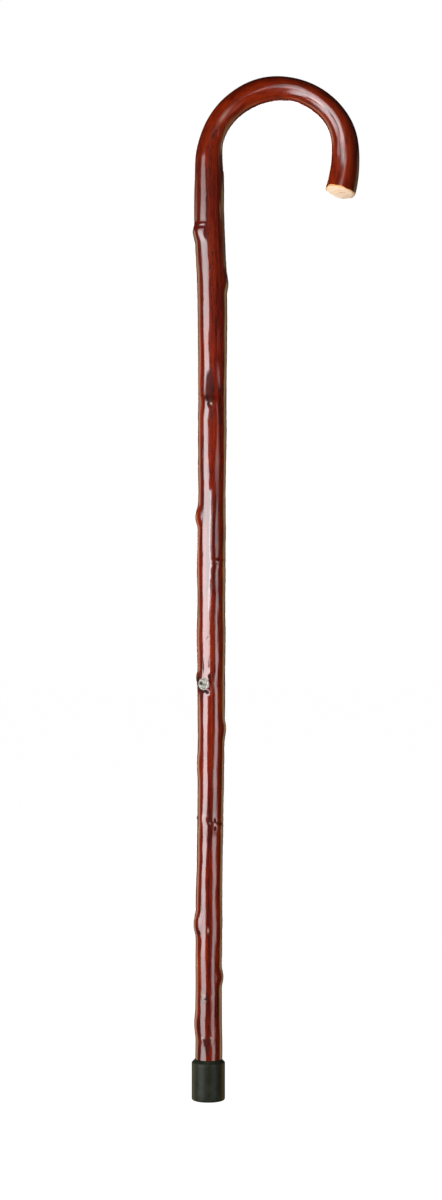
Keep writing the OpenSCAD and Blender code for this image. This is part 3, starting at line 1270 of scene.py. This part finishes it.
@dataclass
class Ferrule:
    """The moulded rubber ferrule: a cup with a sloped mouth, faint bands and a grooved sole."""

    diameter: float = 0.030
    height: float = 0.037
    socket_d: float = 0.0221
    sole_t: float = 0.0055
    sole_round: float = 0.0015
    round_steps: int = 6
    groove_w: float = 0.0016
    groove_depth: float = 0.0012
    groove_pitch: float = 0.0042
    band_depth: float = 0.05 * MM
    band_reach: float = 0.7 * MM
    band_levels: tuple[float, ...] = (0.30, 0.52, 0.66, 0.78)
    # How far in from the outside and down from the top each ring of the sloped mouth lies.
    mouth: tuple[tuple[float, float], ...] = (
        (0, 3.6 * MM), (0.12 * MM, 3.0 * MM), (2.8 * MM, 0.25 * MM), (3.1 * MM, 0),
    )
    sides: int = 128

    def profile(self) -> list[tuple[float, float]]:
        """Draws the cup's section from the middle of the sole, round the outside, to the socket's floor.

        Returns:
            Radius and height of each ring.
        """
        r, h = self.diameter / 2, self.height
        rings = []
        for number in (1, 2):
            inner = number * self.groove_pitch
            outer = inner + self.groove_w
            rings += [(inner, 0), (inner, self.groove_depth), (outer, self.groove_depth), (outer, 0)]
        edge = self.sole_round
        for step in range(self.round_steps + 1):
            angle = math.radians(90 * step / self.round_steps)
            rings.append((r - edge + edge * math.sin(angle), edge - edge * math.cos(angle)))
        for level in self.band_levels:
            at, reach = level * h, self.band_reach
            rings += [(r, at - reach), (r - self.band_depth, at), (r, at + reach)]
        rings += [(r - inwards, h - down) for inwards, down in self.mouth]
        return rings + [(self.socket_d / 2, h), (self.socket_d / 2, self.sole_t)]

    def build(self, finish: bpy.types.Material) -> bpy.types.Object:
        """Makes the ferrule.

        Args:
            finish: The rubber.

        Returns:
            The dressed ferrule.
        """
        rings = self.profile()
        radius, height = rings[0]
        bpy.ops.mesh.primitive_circle_add(vertices=self.sides, radius=radius, location=(0, 0, height))
        cup = settle(bpy.context.object, "rubber_ferrule")
        with editing(cup):
            bpy.ops.mesh.select_all(action="SELECT")
            bpy.ops.mesh.edge_face_add()
            pick(cup, Part.EDGE, lambda e: True)
            for (radius, height), (wider, higher) in zip(rings, rings[1:]):
                bpy.ops.mesh.extrude_edges_move(TRANSFORM_OT_translate={"value": (0, 0, higher - height)})
                if wider != radius:
                    bpy.ops.transform.resize(
                        value=(wider / radius, wider / radius, 1), center_override=(0, 0, higher)
                    )
            bpy.ops.mesh.edge_face_add()
        face_outwards(cup, 0.001 * MM)
        cup.data.materials.append(finish)
        smooth(cup, 32)
        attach(cup, FERRULE_BODY)
        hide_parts("ferrule")
        return cup


@dataclass
class Washer:
    """The pressed steel washer in the bottom of the ferrule."""

    hole_d: float = 0.006
    edge_round: float = 0.0003
    sides: int = 96

    def build(self, finish: bpy.types.Material) -> bpy.types.Object:
        """Makes the washer.

        Args:
            finish: The steel.

        Returns:
            The dressed washer.
        """
        low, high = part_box("ferrule_washer")
        outer, thick = (high.x - low.x) / 2, high.z - low.z
        bpy.ops.mesh.primitive_cylinder_add(
            vertices=self.sides, radius=outer, depth=thick, location=(0, 0, (low.z + high.z) / 2)
        )
        washer = settle(bpy.context.object, "steel_washer")
        with editing(washer, Part.FACE):
            pick(washer, Part.FACE, lambda f: abs(f.normal.z) > 0.9)
            bpy.ops.mesh.inset(thickness=outer - self.hole_d / 2)
            bpy.ops.mesh.bridge_edge_loops()
        face_outwards(washer, 0.001 * MM)
        apply_bevel(washer, self.edge_round, 3, 40)
        washer.data.materials.append(finish)
        smooth(washer, 40)
        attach(washer, FERRULE_BODY)
        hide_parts("ferrule_washer")
        return washer


@dataclass(frozen=True)
class SoftBox:
    """A soft lamp that faces the stick.

    The azimuth is in degrees round the stick from the front, above zero to the right. The glow is the
    brightness of the lamp's face, in rows from its bottom at 0 to its top at 1. The fade is the share of
    the width over which it dims at each side. A grid narrows the lamp's spread to so many degrees. A
    lamp that isn't glossy is a fill, which no gloss mirrors.
    """

    name: str
    azimuth: float
    distance: float
    bottom: float
    top: float
    width: float
    glow: tuple[tuple[float, float], ...]
    fade: float = 0.15
    aim: tuple[float, float, float] | None = None
    grid: float = 180.0
    glossy: bool = True
    tint: Colour = (1.0, 0.98, 1.0)

    def tree(self, light: bpy.types.AreaLight, most: float) -> None:
        """Dims the lamp's face along its rows and towards its sides.

        Args:
            light: The lamp's data.
            most: The brightest row.
        """
        m = Wiring(light, "Light")
        across, up, _ = m.split(m.add("NewGeometry").outputs["Parametric"])
        ramp = m.add("ValToRGB")
        m.join(up, ramp.inputs["Fac"])
        ramp.color_ramp.interpolation = "EASE"
        stops = ramp.color_ramp.elements
        for share, _ in self.glow[1:-1]:
            stops.new(share)
        for stop, (share, glow) in zip(stops, self.glow):
            stop.position = share
            stop.color = (glow / most, glow / most, glow / most, 1)
        sides = m.stretch(across, 0, self.fade)
        sides = m.sum("MULTIPLY", sides, m.stretch(across, 1 - self.fade, 1, 1, 0))
        m.shine("Emission", self.tint, m.sum("MULTIPLY", ramp.outputs["Color"], sides))

    def build(self) -> bpy.types.Object:
        """Hangs the lamp.

        Returns:
            The lamp object, which the camera doesn't see.
        """
        turn = math.radians(self.azimuth)
        x, y = math.sin(turn) * self.distance, -math.cos(turn) * self.distance
        middle = Vector((x, y, (self.top + self.bottom) / 2))
        aim = Vector(self.aim) if self.aim else Vector((0, 0, middle.z))
        light = bpy.data.lights.new(self.name, "AREA")
        light.shape = "RECTANGLE"
        light.size, light.size_y = self.width, self.top - self.bottom
        most = max(glow for _, glow in self.glow)
        light.energy = most * math.pi * light.size * light.size_y
        if self.grid < 180:
            light.spread = math.radians(self.grid)
            half = light.spread / 2
            light.energy *= 1 - half / math.tan(half)
        self.tree(light, most)
        lamp = bpy.data.objects.new(self.name, light)
        lamp.location = middle
        lamp.rotation_euler = (aim - middle).to_track_quat("-Z", "Y").to_euler()
        lamp.visible_camera = False
        lamp.visible_glossy = self.glossy
        bpy.context.scene.collection.objects.link(lamp)
        return lamp


@dataclass
class Studio:
    """The plain studio: camera, lamps, white surroundings and a pale floor."""

    camera_at: tuple[float, float, float] = (0.011385, -2.1, 0.4496)
    lens: float = 70.0
    floor_z: float = -0.32
    floor_size: float = 40.0
    ambient: float = 0.15
    front_gloss: float = 0.015
    above: float = 0.05
    flag_y: float = -0.05
    flag: tuple[tuple[float, float], ...] = (
        (-0.0195, 0.55), (0.0195, 0.55), (0.0195, 0.850), (0.026, 0.888), (0.050, 0.912),
        (0.050, 0.935), (0.0, 0.935), (-0.030, 0.90), (-0.030, 0.845), (-0.0195, 0.83),
    )
    sweep_right: Colour = (1.00, 0.70, 0.32)
    sweep_left: Colour = (1.25, 1.05, 0.70)
    lamps: tuple[SoftBox, ...] = (
        SoftBox(
            "left_box", -50, 0.90, -0.30, 1.08, 0.80,
            ((0.0, 2.6), (0.145, 2.7), (0.22, 3.2), (0.285, 4.1), (0.50, 4.9), (0.59, 5.0),
             (0.685, 4.5), (0.815, 3.7), (0.875, 2.6), (0.907, 1.8), (1.0, 1.8)),
        ),
        SoftBox(
            "left_box_wing", -20, 0.90, 0.32, 0.68, 0.42,
            ((0.0, 0.5), (0.2, 5.2), (0.8, 5.2), (1.0, 0.5)), 0.3,
        ),
        SoftBox(
            "right_box", 41, 0.90, -0.30, 0.34, 0.66,
            ((0.0, 1.8), (0.4, 2.3), (0.9, 2.7), (1.0, 0.4)), 0.3, grid=72,
        ),
        SoftBox(
            "right_box_top", 45, 0.90, 0.30, 0.76, 0.50,
            ((0.0, 0.4), (0.1, 2.7), (0.35, 2.2), (0.55, 1.4), (0.75, 0.7), (1.0, 0.2)), 0.3, grid=72,
        ),
        SoftBox(
            "high_box", 10, 1.03, 1.12, 1.55, 0.30,
            ((0.0, 3.2), (0.6, 2.8), (1.0, 1.0)), 0.35, CROOK, 90,
        ),
        SoftBox(
            "crook_box_1", -6, 1.05, 0.80, 1.20, 1.04,
            ((0.0, 5.6), (0.7, 5.6), (0.8, 4.0), (0.88, 1.0), (1.0, 0.3)), 0.35, CROOK, 120,
        ),
        SoftBox(
            "crook_box_2", -8, 1.03, 0.44, 0.80, 0.52,
            ((0.0, 8.0), (0.5, 5.5), (1.0, 7.0)), 0.2, CROOK, 50,
        ),
        SoftBox(
            "crook_box_3", -8, 0.90, 0.12, 0.44, 0.46,
            ((0.0, 8.0), (0.5, 5.5), (1.0, 8.0)), 0.2, CROOK, 46,
        ),
        SoftBox(
            "crook_box_4", -9, 0.68, -0.06, 0.20, 0.38,
            ((0.0, 2.0), (0.5, 4.0), (1.0, 8.0)), 0.2, CROOK, 46,
        ),
        SoftBox("rear_box", 180, 1.40, -0.10, 1.15, 0.50, ((0.0, 6.0), (1.0, 6.0))),
        SoftBox("front_fill", 12, 1.80, -0.10, 1.10, 1.20, ((0.0, 1.5), (1.0, 1.5)), glossy=False),
    )

    def set_camera(self) -> None:
        """Stands the camera at the photograph's place, level and looking along +Y."""
        camera = bpy.data.objects.new("camera", bpy.data.cameras.new("camera"))
        camera.data.lens = self.lens
        camera.location = self.camera_at
        camera.rotation_euler = (math.pi / 2, 0, 0)
        bpy.context.scene.collection.objects.link(camera)
        bpy.context.scene.camera = camera

    def sweep(self, m: Wiring, way: bpy.types.NodeSocket) -> bpy.types.NodeSocket:
        """Gives what a glossy surface mirrors besides the lamps: pale walls at both sides, else dark.

        Args:
            m: The tree that the colour is worked out in.
            way: The direction from the stick, of length 1.

        Returns:
            The mirrored colour.
        """
        right, back, up = m.split(way)
        band = m.sum("MULTIPLY", m.stretch(back, 0.16, 0.50), m.stretch(back, 0.62, 0.82, 1, 0))
        band = m.sum("MULTIPLY", band, m.stretch(up, 0.08, 0.24, 1, 0))
        walls = m.blend(m.stretch(right, -0.3, 0.3), self.sweep_left, self.sweep_right)
        return m.blend(band, (self.front_gloss,) * 3, walls)

    def hang_flag(self) -> bpy.types.Object:
        """Hangs a black card close to the pole, which keeps the crook's lamps out of the pole's gloss.

        Returns:
            The card, which only glossy rays meet.
        """
        mesh = bpy.data.meshes.new("black_flag")
        mesh.from_pydata([(x, self.flag_y, z) for x, z in self.flag], [], [range(len(self.flag))])
        flag = bpy.data.objects.new("black_flag", mesh)
        bpy.context.scene.collection.objects.link(flag)
        card = Wiring.material("black_card")
        black = card.surface(Base_Color=(0.0, 0.0, 0.0), Roughness=1.0, Specular_IOR_Level=0.0)
        mesh.materials.append(black)
        for rays in ("camera", "diffuse", "shadow", "transmission"):
            setattr(flag, "visible_" + rays, False)
        return flag

    def lay_floor(self) -> bpy.types.Object:
        """Lays the pale floor, which the camera sees as white.

        Returns:
            The floor.
        """
        bpy.ops.mesh.primitive_plane_add(size=self.floor_size, location=(0, 0, self.floor_z))
        floor = settle(bpy.context.object, "floor")
        m = Wiring.material("pale_floor")
        rays = m.add("LightPath")
        way = m.add("VectorMath", operation="NORMALIZE")
        m.join(m.place(), way.inputs[0])
        seen = m.sum("MAXIMUM", rays.outputs["Is Glossy Ray"], rays.outputs["Is Transmission Ray"])
        m.surface(
            Base_Color=m.blend(seen, (0.8, 0.8, 0.8), (0.0, 0.0, 0.0)),
            Roughness=0.9,
            Specular_IOR_Level=0.0,
            Emission_Color=m.blend(seen, (0.95, 0.95, 0.95), self.sweep(m, way.outputs[0])),
            Emission_Strength=m.sum("MAXIMUM", rays.outputs["Is Camera Ray"], seen),
        )
        floor.data.materials.append(m.owner)
        return floor

    def light_world(self) -> None:
        """Lights the surroundings: white to the camera, a pale sweep for gloss, soft fill for all."""
        world = bpy.data.worlds.new("studio")
        bpy.context.scene.world = world
        m = Wiring(world, "World")
        rays = m.add("LightPath")
        way = m.add("TexCoord").outputs["Generated"]
        up = m.split(way)["Z"]
        soft = m.blend(m.stretch(up, -0.2, 0.6), (self.ambient,) * 3, (self.above,) * 3)
        seen = m.sum("MAXIMUM", rays.outputs["Is Glossy Ray"], rays.outputs["Is Transmission Ray"])
        fill = m.blend(seen, soft, self.sweep(m, way))
        m.shine("Background", m.blend(rays.outputs["Is Camera Ray"], fill, (1, 1, 1)), 1)

    def build(self) -> None:
        """Sets up the whole studio."""
        self.set_camera()
        self.lay_floor()
        self.hang_flag()
        self.light_world()
        for lamp in self.lamps:
            lamp.build()
        bpy.context.scene.view_settings.view_transform = "Standard"


def main() -> None:
    """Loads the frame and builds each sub-assembly in order."""
    logging.basicConfig(level=logging.INFO, format="%(message)s")
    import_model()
    Studio().build()

    pole = Pole()
    middle, out, _, _ = pole.nose_frame()
    stub = BranchStub(pole)
    bark = VarnishedBark(pole.pole_h, pole.hook_len).make()
    fresh = BareWood(
        Cut.FRESH, pale=(0.86, 0.68, 0.48), deep=(0.66, 0.40, 0.22), centre=tuple(middle), axis=tuple(out),
        rim=(0.58, 0.28, 0.08), rim_r=12.6 * MM, ring_gap=2.1 * MM, ring_share=0.3,
    ).make()
    # The stub's pale grey face and pale rim are partly weathered wood and partly a painted reflection of
    # the lamps on the flat sawn face.
    weathered_and_sheen = BareWood(
        Cut.WEATHERED, pale=(0.50, 0.50, 0.43), deep=(0.085, 0.078, 0.062), centre=tuple(stub.pith_at()),
        axis=tuple(stub.frame()[1]), rim=(0.56, 0.58, 0.54), rim_r=6.4 * MM, ring_gap=2.0 * MM,
        ring_share=0.5, pith_r=1.7 * MM, blotches=0.6, depth=0.6 * MM,
    ).make()
    turned = BareWood(
        Cut.TURNED, pale=(0.55, 0.36, 0.19), deep=(0.36, 0.20, 0.09), centre=(0, 0, 0), axis=(0, 0, 1),
        rim=(0.50, 0.32, 0.17), rim_r=10.6 * MM,
    ).make()
    pieces = [
        pole.build(bark, fresh),
        stub.build(weathered_and_sheen),
        TurnedTip().build(turned),
        Ferrule().build(MouldedRubber().make()),
        Washer().build(PressedSteel().make()),
    ]
    for piece in pieces:
        piece.data.calc_loop_triangles()
        log.info("%s: %d triangles", piece.name, len(piece.data.loop_triangles))


if __name__ == "__main__":
    main()
